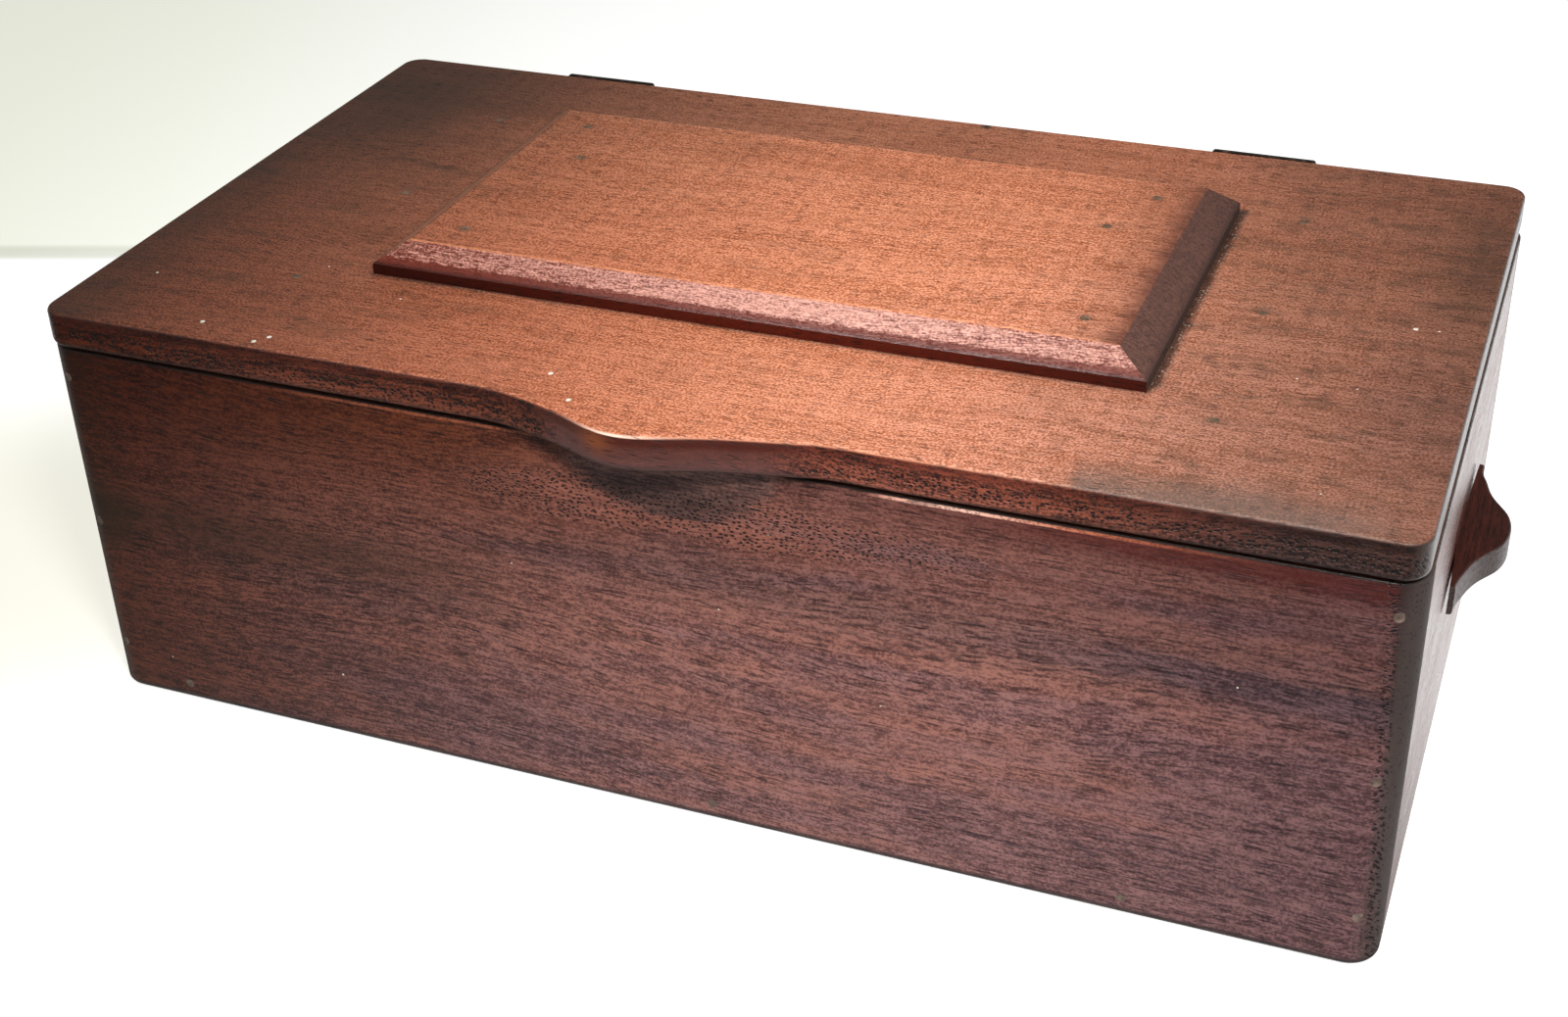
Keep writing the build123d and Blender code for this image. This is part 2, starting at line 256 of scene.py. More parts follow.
class Spot:
    """Where a finish is read: x, y, z in mm, the facing of the surface there, and the figure of its wood."""

    def __init__(self, wood, turn, shift):
        """The grain is the place in mm, turned and shifted for the piece, and swayed across by soft
        noise. The face is its length against the sum of its two other directions."""
        self.place = in_millimetres(wood)
        self.x, self.y, self.z = self.place.parts()
        facing = wood.node("TexCoord", {}, {}, output="Normal")
        self.nx, self.ny, self.nz = facing.parts()
        laid = wood.node("Mapping", {}, {"Vector": self.place, "Location": shift, "Rotation": turn})
        sway_y = cloud(wood, laid, (150.0, 46.0, 46.0), 1.0) * 16.0 - 8.0
        sway_z = cloud(wood, laid, (21.0, 30.0, 30.0), 1.0) * 1.6 - 0.8
        sway = wood.node("CombineXYZ", {}, {1: sway_y + sway_z, 2: sway_y})
        self.grain = wood.node("VectorMath", {"operation": "ADD"}, {0: laid, 1: sway})
        along, _, _ = laid.parts()
        lean = wood.node("CombineXYZ", {}, {1: along * 0.09, 2: along * 0.09})
        slanted = wood.node("VectorMath", {"operation": "ADD"}, {0: self.grain, 1: lean})
        lengthwise, sidewise, through = self.grain.parts()
        self.face = wood.node("CombineXYZ", {}, {0: lengthwise, 1: sidewise + through})
        self.band = cloud(wood, self.grain, (120.0, 11.0, 11.0), 2.0)
        self.streak = cloud(wood, self.grain, (24.0, 1.1, 1.1), 2.0, 0.5)
        self.fibre = cloud(wood, self.grain, (3.2, 0.45, 0.45), 2.0, 0.6)
        self.speck = cloud(wood, self.place, (0.56, 0.46, 0.46), 0.0)
        self.fleck = cloud(wood, slanted, (6.0, 0.75, 0.75), 1.0, 0.5)
        self.smudge = cloud(wood, self.grain, (24.0, 6.0, 6.0), 3.0, 0.62)
        self.blotch = cloud(wood, self.place, (34.0, 22.0, 22.0), 3.0, 0.55)

    def figure(self, band, streak, fibre, speck):
        """The figure's darkness and paleness from 0 to 1, as a weighted sum of its four scales."""
        return (self.band.rise(0.30, 0.70) * band + self.streak.rise(0.34, 0.66) * streak
                + self.fibre.rise(0.33, 0.67) * fibre + self.speck.rise(0.28, 0.72) * speck)


def bell(value, centre, width):
    """exp(-((value - centre) / width) squared): 1 at the centre, 0.37 a width away."""
    off = (value - centre) / width
    return off.maths("EXPONENT", off * off * -1.0)


def mahogany(name, dress, turn=(0.0, 0.0, 0.0), shift=(0.0, 0.0, 0.0), pore=(12.0, 0.85, 0.55),
             along="x", end_rough=0.15, gloss=0.42):
    """Finish of one mahogany piece. dress(wood, spot) gives its colour, the share of coarse pores, and
    its roughness. Where the surface cuts across the grain, by the square of its facing along it, the
    colour turns to end grain. Fine pores, of the given length, width and share, then darken the
    colour, and pores and fibres give the surface its relief."""
    material, wood = new_finish(name)
    spot = Spot(wood, turn, shift)
    colour, coarse, rough = dress(wood, spot)
    lengthwise = spot.nx if along == "x" else spot.ny
    cut_across = (lengthwise * lengthwise).rise(0.03, 0.5)
    pore_long, pore_wide, pore_share = pore
    fine = pore_marks(wood, spot.face, (pore_long, pore_wide, 1.0), 0.32, pore_share) * (1 - cut_across)
    dots = pore_marks(wood, spot.face, (1.25, 0.80, 1.0), 0.45, 0.88) * coarse
    ends = pore_marks(wood, spot.place, (0.9, 0.9, 0.9), 0.40, 0.90, "3D") * cut_across
    holes = (fine * (0.62 - coarse * 0.3)).larger(dots).larger(ends * 0.6)
    colour = wood.mix(cut_across * 0.64, colour, end_grain_brown)
    colour = wood.tint(holes, colour, pore_brown)
    relief = spot.streak * 0.30 + spot.fibre * 0.35 + spot.speck * 0.25 - holes * (0.6 + coarse * 0.9)
    bump = wood.node("Bump", {}, {"Strength": 0.6, "Distance": 0.00018, "Height": relief}, output="Normal")
    rough = rough + holes * 0.12 + cut_across * end_rough
    polish = wood.node("BsdfPrincipled", {}, {"Base Color": colour, "Roughness": rough,
                                              "Normal": bump, "Specular IOR Level": gloss})
    set_surface(wood, polish)
    return material


def dress_node(material, *names):
    """Gives a finish to solids of the frame."""
    for name in names:
        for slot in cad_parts[name].material_slots:
            slot.material = material


pore_brown = (0.18, 0.13, 0.14, 1.0)
end_grain_brown = (0.068, 0.050, 0.044, 1.0)
dust_white = (0.74, 0.70, 0.62, 1.0)
bare_deep = (0.105, 0.047, 0.027, 1.0)
bare_pale = (0.255, 0.128, 0.074, 1.0)
bare_stain = (0.055, 0.030, 0.022, 1.0)
bare_roughness = 0.72


def bare_wood(wood, spot):
    """Unpolished mahogany, with grey-brown stains where things lay."""
    colour = wood.mix(spot.figure(0.25, 0.30, 0.25, 0.20), bare_deep, bare_pale)
    colour = wood.mix(spot.blotch.rise(0.50, 0.78) * 0.55, colour, bare_stain)
    return colour, spot.smudge.rise(0.60, 0.80) * 0.4, bare_roughness + spot.streak * 0.1


dress_node(mahogany("bare_bottom_wood", bare_wood, shift=(40.0, 11.0, 3.0)), "bottom_board")

# The front and back boards: flat-sawn mahogany, polished outside and bare inside, nailed over
# the ends of the end boards, with their corners rounded afterwards. The front one has rows of
# open pores near its rim, dark flecks along the grain, and a stain where fingers lift the lid.

front_end_deep = (0.024, 0.0048, 0.0020, 1.0)
front_end_pale = (0.114, 0.0280, 0.0130, 1.0)
front_deep = (0.082, 0.0280, 0.0270, 1.0)
front_pale = (0.320, 0.1450, 0.1270, 1.0)
warm_tint = (1.06, 0.98, 0.88, 1.0)
cool_tint = (0.88, 0.96, 1.08, 1.0)
front_right_tint = (0.78, 0.77, 0.82, 1.0)
upper_left_shade_tint = (0.47, 0.29, 0.14, 1.0)
upper_right_shade_tint = (0.54, 0.53, 0.55, 1.0)
shadow_band_tint = (0.78, 0.86, 0.93, 1.0)
fleck_tint = (0.46, 0.50, 0.58, 1.0)
corner_black = (0.024, 0.0180, 0.0170, 1.0)
corner_floor_reflection = (0.135, 0.1300, 0.1320, 1.0)
band_pale = (0.300, 0.1080, 0.0790, 1.0)
finger_stain = (0.40, 0.52, 0.60, 1.0)
stain_with_painted_light_at_lip = (0.84, 1.04, 1.12, 1.0)
olive_shade = (0.026, 0.0125, 0.0060, 1.0)
rim_red = (0.070, 0.0080, 0.0045, 1.0)
rim_worn = (0.520, 0.1500, 0.0750, 1.0)
rim_painted_highlight = (0.860, 0.5200, 0.4200, 1.0)
gap_shade_dark = (0.012, 0.0060, 0.0050, 1.0)
rim_top = (0.090, 0.0360, 0.0240, 1.0)
side_tint = (0.98, 0.88, 0.78, 1.0)
polish_roughness = 0.34
stain_middle = (1.0, 92.0)
stain_half = (24.0, 15.5)
corner_lean = 0.054
corner_line = 150.24


def flecks_of(spot, crowd):
    """Dark flecks where their own noise is high, more of them where crowd is nearer to 1."""
    return (spot.fleck + crowd * 0.10).rise(0.62, 0.72)


def dust_specks(wood, spot):
    """A white speck of dust, about 0.7 mm wide, in one of twenty squares of 12 mm."""
    return pore_marks(wood, spot.face, (12.0, 12.0, 1.0), 0.030, 0.05) * 0.9


def rim_above(wood, spot):
    """The rim's rounded edge is darkened as painted shade of the gap under the lid, and its flat top
    is brown, with some wear.
    """
    flat = spot.nz.rise(0.75, 0.95) * (0.45 + spot.streak * 0.9)
    return wood.mix(flat, gap_shade_dark, rim_top)


def front_wood(wood, spot):
    """Red-brown polish, darker and browner left of x = -10 and more purple to the right and below. Open
    pores lie about z = 79 and along the line x + 0.054 z = 150.24, where the rounded corner's end grain
    begins. The stain under the lip is the half ellipse ((x - 1) / 24)^2 + ((z - 92) / 15.5)^2 < 1."""
    outside = spot.ny.rise(0.30, -0.10)
    middle = spot.x.rise(-165.0, -10.0)
    deep = wood.mix(middle, front_end_deep, front_deep)
    pale = wood.mix(middle, front_end_pale, front_pale)
    row = bell(spot.z - spot.x * 0.012 + (spot.smudge - 0.5) * 9.0, 79.0, 6.5) * spot.x.rise(-74.0, -22.0)
    row = row * (0.20 + spot.x.rise(105.0, 10.0) * 0.80)
    colour = wood.mix(spot.figure(0.16, 0.20, 0.34, 0.30).rise(0.12, 0.88), deep, pale)
    lit_row = row * spot.x.rise(-64.0, -10.0)
    colour = wood.mix(lit_row * 0.55, colour, band_pale)
    warm = (spot.smudge * 0.8 + spot.band * 1.6 + spot.z * 0.006 - spot.x * 0.0022 - 0.46).rise(0.60, 1.20)
    colour = wood.tint(1.0, colour, wood.mix(warm, cool_tint, warm_tint))
    colour = wood.tint(spot.x.rise(60.0, 145.0), colour, front_right_tint)
    from_middle = (spot.x - stain_middle[0]) / stain_half[0]
    from_rim = (spot.z - stain_middle[1]) / stain_half[1]
    ring = from_middle * from_middle + from_rim * from_rim
    ring = ring + (spot.streak - 0.5) * 0.7 + (spot.fibre - 0.5) * 0.4
    stained = ring.rise(1.12, 0.70)
    # painted shade: the board is darkened toward the top, standing in for the dark room its polish mirrors
    # there
    upper = wood.mix(spot.x.rise(-60.0, 50.0), upper_left_shade_tint, upper_right_shade_tint)
    upward = spot.z.rise(46.0, 92.0) * (1 - stained) * (1 - lit_row * 0.7)
    colour = wood.tint(upward, colour, upper)
    colour = wood.tint(bell(spot.z, 64.0, 6.5) * spot.x.rise(-70.0, 5.0), colour, shadow_band_tint)
    lower_row = bell(spot.z - spot.x * 0.05, 44.0, 5.0)
    lower_row = lower_row * spot.x.rise(-110.0, -60.0) * spot.x.rise(40.0, -10.0)
    right_row = bell(spot.z - spot.x * 0.08, 54.0, 3.5) * spot.x.rise(0.0, 50.0)
    foot_row = bell(spot.z - spot.x * 0.02, 12.0, 5.0) * 0.8
    crowd = spot.smudge.rise(0.40, 0.66) * 0.6 + lower_row + right_row * 1.3 + foot_row
    crowd = crowd - row * 0.8 + stained * 1.4
    colour = wood.tint(flecks_of(spot, crowd) * 0.68, colour, fleck_tint)
    dusk = bell(spot.z, 51.0, 8.0) * spot.x.rise(0.0, -70.0) + spot.x.rise(-128.0, -152.0) * 0.7
    colour = wood.mix(dusk * spot.blotch.rise(0.25, 0.60) * 0.60, colour, olive_shade)
    # Near the lip the stain turns paler and greyer as painted light, offsetting the lamp's shadow of the
    # lip.
    stain = wood.mix(spot.z.rise(83.0, 89.5), finger_stain, stain_with_painted_light_at_lip)
    colour = wood.tint(stained, colour, stain)
    near_rim = spot.z.rise(84.0, 90.5) * spot.x.rise(20.0, 100.0)
    colour = wood.mix(near_rim * 0.70, colour, rim_red)
    edge_right = spot.x.rise(42.0, 50.0) * spot.x.rise(128.0, 70.0)
    edge_left = spot.x.rise(-100.0, -70.0) * spot.x.rise(-24.0, -32.0)
    edge = edge_right + edge_left * 0.4
    edge = edge * spot.z.rise(91.1, 91.4) * (0.45 + spot.speck.rise(0.30, 0.60) * 0.55)
    # The rim's worn line, with a painted highlight about x = 60.
    colour = wood.mix(edge, colour, wood.mix(bell(spot.x, 60.0, 16.0), rim_worn, rim_painted_highlight))
    # painted shade: the rim's rounded edge darkens into the gap under the lid
    colour = wood.mix(spot.z.rise(91.8, 92.1), colour, rim_above(wood, spot))
    # The rounded corner is dark end grain, lightened to grey toward the bottom as a painted reflection of
    # the floor.
    corner = spot.x + spot.z * corner_lean - corner_line
    turned = wood.mix(spot.z.rise(66.0, 4.0), corner_black, corner_floor_reflection)
    colour = wood.mix(corner.rise(-0.8, 1.4) * (0.55 + spot.fibre * 0.40) * outside, colour, turned)
    # painted shade along the foot of the board, where it meets the table
    colour = wood.mix(spot.z.rise(2.4, 1.4) * 0.8, colour, corner_black)
    colour = wood.mix(dust_specks(wood, spot) * outside, colour, dust_white)
    coarse = outside * (row * 1.2 + bell(corner, -0.4, 1.1) * 1.4).rise(0.20, 0.80)
    inside = wood.mix(spot.figure(0.25, 0.30, 0.25, 0.20), bare_deep, bare_pale)
    colour = wood.mix(outside, inside, colour)
    rough = bare_roughness - outside * (bare_roughness - polish_roughness) + spot.streak * 0.08
    return colour, coarse, rough


def side_polish(wood, spot):
    """Figure and colour of the back and the ends: the front's two tones and its flecks, evenly
    spread and a little browner."""
    figure = spot.figure(0.22, 0.16, 0.28, 0.34)
    colour = wood.mix(figure.rise(0.16, 0.84), front_deep, front_pale)
    flecks = flecks_of(spot, spot.smudge.rise(0.38, 0.62))
    colour = wood.tint(flecks * 0.85, colour, fleck_tint)
    return figure, wood.tint(1.0, colour, side_tint)


def back_wood(wood, spot):
    """Side polish outside, with patches of olive grime and a dark left end, and bare wood inside."""
    outside = spot.ny.rise(-0.30, 0.10)
    figure, colour = side_polish(wood, spot)
    colour = wood.mix(spot.smudge.rise(0.48, 0.70) * 0.4, colour, olive_shade)
    colour = wood.mix(bell(spot.x, -151.0, 60.0) * 0.5, colour, front_end_deep)
    # painted shade: the rim's rounded edge darkens into the gap under the lid
    colour = wood.mix(spot.z.rise(91.3, 92.0), colour, rim_above(wood, spot))
    inside = wood.mix(figure, bare_deep, bare_pale)
    colour = wood.mix(outside, inside, colour)
    rough = bare_roughness - outside * (bare_roughness - polish_roughness) + spot.streak * 0.08
    return colour, spot.smudge.rise(0.56, 0.72) * 0.7 * outside, rough


dress_node(mahogany("front_board_polish", front_wood, shift=(13.0, 27.0, 5.0), end_rough=0.34),
           "front_board")
dress_node(mahogany("back_board_polish", back_wood, shift=(210.0, 5.0, 61.0), end_rough=0.34),
           "back_board")

# The end boards: the same mahogany with its grain running from front to back, held between the
# front and back boards by nails.

quarter_turn = (0.0, 0.0, -math.pi / 2)
end_roughness = 0.16


def end_wood(wood, spot):
    """Side polish outside, where the size of x is above 148, and bare wood inside, below 144. Hands
    have darkened it about the ear."""
    outside = spot.x.size().rise(144.0, 148.0)
    figure, colour = side_polish(wood, spot)
    handled = bell(spot.y, 0.0, 34.0) * bell(spot.z, 62.0, 22.0)
    colour = wood.mix(handled * 0.35, colour, front_end_pale)
    # painted shade: the rim's rounded edge darkens into the gap under the lid
    colour = wood.mix(spot.z.rise(91.6, 92.1), colour, rim_above(wood, spot))
    inside = wood.mix(figure, bare_deep, bare_pale)
    colour = wood.mix(outside, inside, colour)
    rough = bare_roughness - outside * (bare_roughness - end_roughness) + figure * 0.30
    return colour, spot.smudge.rise(0.56, 0.72) * 0.6 * outside, rough


dress_node(mahogany("right_end_polish", end_wood, quarter_turn, (33.0, 7.0, 20.0), along="y"),
           "right_end_board")
dress_node(mahogany("left_end_polish", end_wood, quarter_turn, (95.0, 180.0, 44.0), along="y"),
           "left_end_board")

# The nails of the body: small brass pins with flat round heads, driven flush and gone brown. Three
# in each upright corner of the front and back boards, and three along the bottom edge of each.

nail_grime = (0.040, 0.028, 0.020, 1.0)
body_nail_old = (0.140, 0.098, 0.082, 1.0)
body_nail_rubbed = (0.290, 0.215, 0.175, 1.0)
body_nail_grime_share = 0.38


def nail_finish(name, old_brass, rubbed_brass, grime_share):
    """Brass browned by age: noise lays the rubbed colour on the old one, and grime over both."""
    material, metal = new_finish(name)
    place = in_millimetres(metal)
    rubbed = cloud(metal, place, (2.2, 2.2, 2.2), 2.0)
    dirty = cloud(metal, place, (1.2, 1.2, 1.2), 2.0)
    colour = metal.mix(rubbed.rise(0.35, 0.70), old_brass, rubbed_brass)
    grime = dirty.rise(0.66 - grime_share * 0.4, 0.84 - grime_share * 0.4) * 0.7
    colour = metal.mix(grime, colour, nail_grime)
    relief = rubbed + dirty
    bump = metal.node("Bump", {}, {"Strength": 0.3, "Distance": 0.0001, "Height": relief}, output="Normal")
    face = metal.node("BsdfPrincipled", {}, {"Base Color": colour, "Metallic": 0.35 - grime * 0.3,
                                             "Roughness": 0.55 + grime * 0.25, "Normal": bump})
    set_surface(metal, face)
    return material


body_brass = nail_finish("browned_brass", body_nail_old, body_nail_rubbed, body_nail_grime_share)
dress_node(body_brass, "front_corner_nails", "back_corner_nails", "bottom_nails")

# The carrying ears: one shaped mahogany grip at each end, screwed on from inside, its grain
# running front to back like the board that carries it. Its edge has gone grey from handling.

ear_deep = (0.018, 0.0030, 0.0016, 1.0)
ear_pale = (0.066, 0.0125, 0.0062, 1.0)
ear_edge_deep = (0.042, 0.0280, 0.0290, 1.0)
ear_edge_pale = (0.170, 0.1280, 0.1300, 1.0)


def ear_wood(wood, spot):
    """Dark red polish above and below, and a greyer, more open edge all round."""
    colour = wood.mix(spot.figure(0.20, 0.30, 0.28, 0.22).rise(0.10, 0.90), ear_deep, ear_pale)
    edge = (spot.nz * spot.nz).rise(0.50, 0.10)
    worn = wood.mix((spot.streak * 0.8 + spot.fibre * 0.6).rise(0.45, 0.95), ear_edge_deep, ear_edge_pale)
    colour = wood.mix(edge * (0.45 + spot.blotch * 0.45), colour, worn)
    return colour, edge * 0.5, 0.40 + spot.streak * 0.10


dress_node(mahogany("ear_polish", ear_wood, quarter_turn, (12.0, 55.0, 8.0), along="y"),
           "left_carrying_ear", "right_carrying_ear")

# The lid: one board of the same mahogany, 8.8 mm thick, with a shaped lip in front to lift it
# by. Its middle is orange and its ends dark, partly from wear and partly as a painted pool of light.

lid_end_deep = (0.042, 0.0105, 0.0038, 1.0)
lid_end_pale = (0.136, 0.0430, 0.0195, 1.0)
lid_deep = (0.285, 0.0760, 0.0260, 1.0)
lid_pale = (0.650, 0.2620, 0.1520, 1.0)
rosy_tint = (1.00, 1.08, 1.20, 1.0)
near_right_tint = (1.02, 1.12, 1.28, 1.0)
near_left_tint = (0.97, 0.86, 0.84, 1.0)
right_corner_tint = (0.80, 0.80, 0.86, 1.0)
far_tint = (0.90, 0.87, 0.86, 1.0)
lid_edge_deep = (0.018, 0.0038, 0.0018, 1.0)
lid_edge_pale = (0.175, 0.0400, 0.0190, 1.0)
lid_edge_middle = (1.75, 1.90, 2.30, 1.0)
lid_edge_right = (0.38, 0.68, 1.15, 1.0)
lid_edge_left = (0.58, 0.42, 0.25, 1.0)
lid_edge_upper = (0.58, 0.46, 0.42, 1.0)
lid_edge_floor_reflection = (1.15, 1.34, 1.45, 1.0)
lip_polish = (0.096, 0.0370, 0.0330, 1.0)
lip_red = (0.068, 0.0090, 0.0035, 1.0)
lip_worn = (0.230, 0.0620, 0.0180, 1.0)
lip_shine = (0.950, 0.6400, 0.5200, 1.0)
arris_wear_and_highlight = (0.560, 0.2100, 0.1100, 1.0)
olive_grime_and_shade = (0.090, 0.0450, 0.0240, 1.0)
end_grime = (0.030, 0.0160, 0.0090, 1.0)
patch_grey = (0.106, 0.0730, 0.0600, 1.0)
dirt_and_painted_shade = (0.013, 0.0085, 0.0070, 1.0)
foot_dust = (0.300, 0.2450, 0.2000, 1.0)
nail_halo = (0.055, 0.0400, 0.0270, 1.0)
panel_middle = (1.0, 1.8)
panel_half = (88.5, 46.0)
far_dark_spot = [(18.2, 80.8)]


def marks_at(spot, centres, long, wide):
    """Dark marks: the sum of exp(-((x - cx) / long)^2) exp(-((y - cy) / wide)^2) over their centres."""
    marks = 0.0
    for centre_x, centre_y in centres:
        marks = bell(spot.x, centre_x, long) * bell(spot.y, centre_y, wide) + marks
    return marks


lid_nails = [(104.6, 49.0), (104.6, 0.0), (104.6, -51.0), (-103.4, 49.0), (-103.4, 0.0), (104.6, -69.5)]
lid_specks = [(-94.9, -81.8), (-92.8, -79.0), (-110.9, -77.2), (-27.8, -74.7), (-19.3, -83.8), (136.0, 0.4)]


def lid_wear_and_painted_light(wood, spot):
    """Colour of the top of the lid: dark ends, orange between x = 0 and 50, rosier to the right and near
    the front there, dimmer at the right edge beyond x = 120, and soiled in patches."""
    # The dark ends and orange middle are partly wear and partly a painted pool of light from the lamp over
    # the front.
    worn = spot.x.rise(-166.0, 22.0) * (0.38 + spot.x.rise(134.0, 40.0) * 0.62)
    deep = wood.mix(worn, lid_end_deep, lid_deep)
    pale = wood.mix(worn, lid_end_pale, lid_pale)
    colour = wood.mix(spot.figure(0.10, 0.14, 0.26, 0.50).rise(0.12, 0.88), deep, pale)
    near = spot.y.rise(40.0, -80.0)
    colour = wood.tint(spot.x.rise(40.0, 120.0), colour, rosy_tint)
    colour = wood.tint(near * spot.x.rise(-20.0, 90.0), colour, near_right_tint)
    colour = wood.tint(near * spot.x.rise(20.0, -60.0), colour, near_left_tint)
    dimmer = spot.x.rise(120.0, 140.0) * bell(spot.y, -36.0, 30.0)
    colour = wood.tint(dimmer, colour, right_corner_tint)
    colour = wood.tint(spot.y.rise(0.0, 55.0) * spot.x.rise(-30.0, 30.0), colour, far_tint)
    flecks = flecks_of(spot, spot.smudge.rise(0.42, 0.66) * 0.8)
    mottle = cloud(wood, spot.place, (9.0, 6.0, 6.0), 3.0, 0.6).rise(0.50, 0.66) * spot.x.rise(40.0, 110.0)
    soiled = flecks * 0.18 + spot.smudge.rise(0.52, 0.74) * 0.22 + spot.blotch.rise(0.54, 0.76) * 0.22
    soiled = soiled + mottle * 0.26
    return wood.mix(soiled * (1.7 - worn * 0.8), colour, wood.mix(worn, end_grime, olive_grime_and_shade))


def lid_wood(wood, spot):
    """Top partly worn and partly painted light, dark edge. Dirt, dust and painted shade lie within about 3
    mm of the panel, whose distance is the larger of |x - px| - hx and |y - py| - hy, for its middle p and
    its half sizes h."""
    top = spot.nz.rise(0.45, 0.85)
    colour = lid_wear_and_painted_light(wood, spot)
    ragged = (spot.smudge - 0.5) * 44.0 + (spot.blotch - 0.5) * 40.0
    corner_left = bell(spot.x + ragged, -134.0, 30.0) * bell(spot.y - ragged * 0.6, 50.0, 38.0) * 0.85
    left_end = spot.x.rise(-124.0, -149.0) * (0.3 + spot.y.rise(40.0, 5.0) * 0.3)
    right_end = bell(spot.x + ragged * 0.3, 147.0, 10.0) * (0.25 + bell(spot.y + ragged, 34.0, 26.0) * 0.45)
    patch = (spot.x + ragged * 0.15 + spot.speck * 4.0).rise(84.0, 87.5)
    patch = patch * (spot.x + ragged * 0.3).rise(148.0, 130.0)
    grimy_y = spot.y + ragged * 0.20 + spot.speck * 8.0 + bell(spot.x, 115.0, 10.0) * -3.0
    sooty = patch * grimy_y.rise(-66.0, -80.0) * (0.60 + spot.speck.rise(0.70, 0.30) * 0.40)
    dull = corner_left.larger(left_end).larger(right_end) * (0.70 + spot.fibre * 0.40)
    behind = (spot.y + ragged * 0.1).rise(47.0, 56.0) * spot.x.rise(80.0, 10.0) * 0.28
    colour = wood.mix(behind, colour, end_grime)
    colour = wood.mix(dull * 0.85, colour, end_grime)
    colour = wood.mix(sooty * 0.96, colour, patch_grey)
    away_x = (spot.x - panel_middle[0]).size() - panel_half[0]
    away_y = (spot.y - panel_middle[1]).size() - panel_half[1]
    away = away_x.larger(away_y)
    # The panel's foot darkens, partly dirt and partly painted shade, heavier at its right side and front.
    beside = (spot.x - panel_middle[0] - panel_half[0]).rise(-1.0, 0.0) * spot.y.rise(-47.0, -40.0)
    before = spot.y.rise(-41.0, -44.0) * spot.x.rise(91.0, 88.0)
    heavy = 0.30 + beside * 0.50 + before * 0.65
    reach = 0.2 + beside * 1.4 + (spot.smudge - 0.5) * 1.6
    colour = wood.mix((away - reach).rise(1.4, -0.8) * heavy, colour, dirt_and_painted_shade)
    dusty = (away - reach).rise(1.6, 0.4) * away.rise(0.1, 0.5) * (beside + before)
    specks = pore_marks(wood, spot.face, (0.8, 0.8, 1.0), 0.38, 0.35)
    colour = wood.mix(dusty * specks * 0.8, colour, foot_dust)
    colour = wood.mix(marks_at(spot, lid_nails, 2.2, 1.5) * 0.45, colour, nail_halo)
    colour = wood.mix(marks_at(spot, far_dark_spot, 1.3, 1.1), colour, dirt_and_painted_shade)
    colour = wood.mix(marks_at(spot, lid_specks, 0.60, 0.65).rise(0.30, 0.60) * 0.9, colour, dust_white)
    colour = wood.mix(dust_specks(wood, spot), colour, dust_white)
    across = spot.figure(0.20, 0.24, 0.30, 0.26).rise(0.12, 0.88)
    edge = wood.mix(across, lid_edge_deep, lid_edge_pale)
    edge = wood.tint(spot.x.rise(-85.0, -140.0), edge, lid_edge_left)
    edge = wood.tint(bell(spot.x, 56.0, 38.0), edge, lid_edge_middle)
    edge = wood.tint(spot.x.rise(78.0, 132.0), edge, lid_edge_right)
    lip = spot.x.rise(-27.0, -18.0) * spot.x.rise(36.0, 22.0)
    edge = wood.mix(lip * 0.75, edge, lip_polish)
    # painted reflection: the lower part of the edge is paler and greyer, for the floor that it mirrors
    edge = wood.tint(spot.z.rise(98.2, 95.2), edge, lid_edge_floor_reflection)
    edge = wood.tint(spot.z.rise(98.9, 100.6), edge, lid_edge_upper)
    edge = wood.mix(lip * spot.z.rise(98.2, 100.2) * 0.65, edge, lip_red)
    edge = wood.mix(bell(spot.x, -9.5, 3.6) * bell(spot.z, 99.4, 2.4) * 0.75, edge, lip_worn)
    # painted shade: the bottom of the edge darkens into the gap over the rim
    edge = wood.mix(spot.z.rise(94.3, 93.5) * 0.85, edge, gap_shade_dark)
    # The top arris is worn orange, and brighter between x = -24 and 95 and at the lip's nose as a painted
    # highlight.
    bright = 0.06 + spot.x.rise(-24.0, -4.0) * spot.x.rise(95.0, 45.0) * 0.75
    edge = wood.mix(spot.z.rise(101.35, 101.75) * bright, edge, arris_wear_and_highlight)
    edge = wood.mix(bell(spot.x, -5.0, 8.0) * spot.z.rise(101.2, 101.5), edge, lip_shine)
    colour = wood.mix(top, edge, colour)
    under = spot.nz.rise(-0.75, -0.97)
    inside = wood.mix(across, bare_deep, bare_pale)
    colour = wood.mix(under, colour, inside)
    front_edge = spot.ny.rise(-0.35, -0.75) * spot.z.rise(101.2, 99.5)
    rough = 0.46 + spot.streak * 0.10 - front_edge * (0.08 + lip * 0.10) + under * 0.24
    open_pores = (0.20 + bell(spot.z, 97.0, 2.4)) * spot.smudge.rise(0.30, 0.50) * (1 - lip)
    return colour, front_edge * open_pores, rough


lid_pores = (5.0, 0.60, 0.45)
dress_node(mahogany("lid_polish", lid_wood, shift=(75.0, 140.0, 9.0), pore=lid_pores, end_rough=-0.20),
           "lid_board")

# The raised panel on the lid: a thinner board with its four edges bevelled and a low square
# edge below, nailed down. Its front bevel is open-grained and its right one dark.

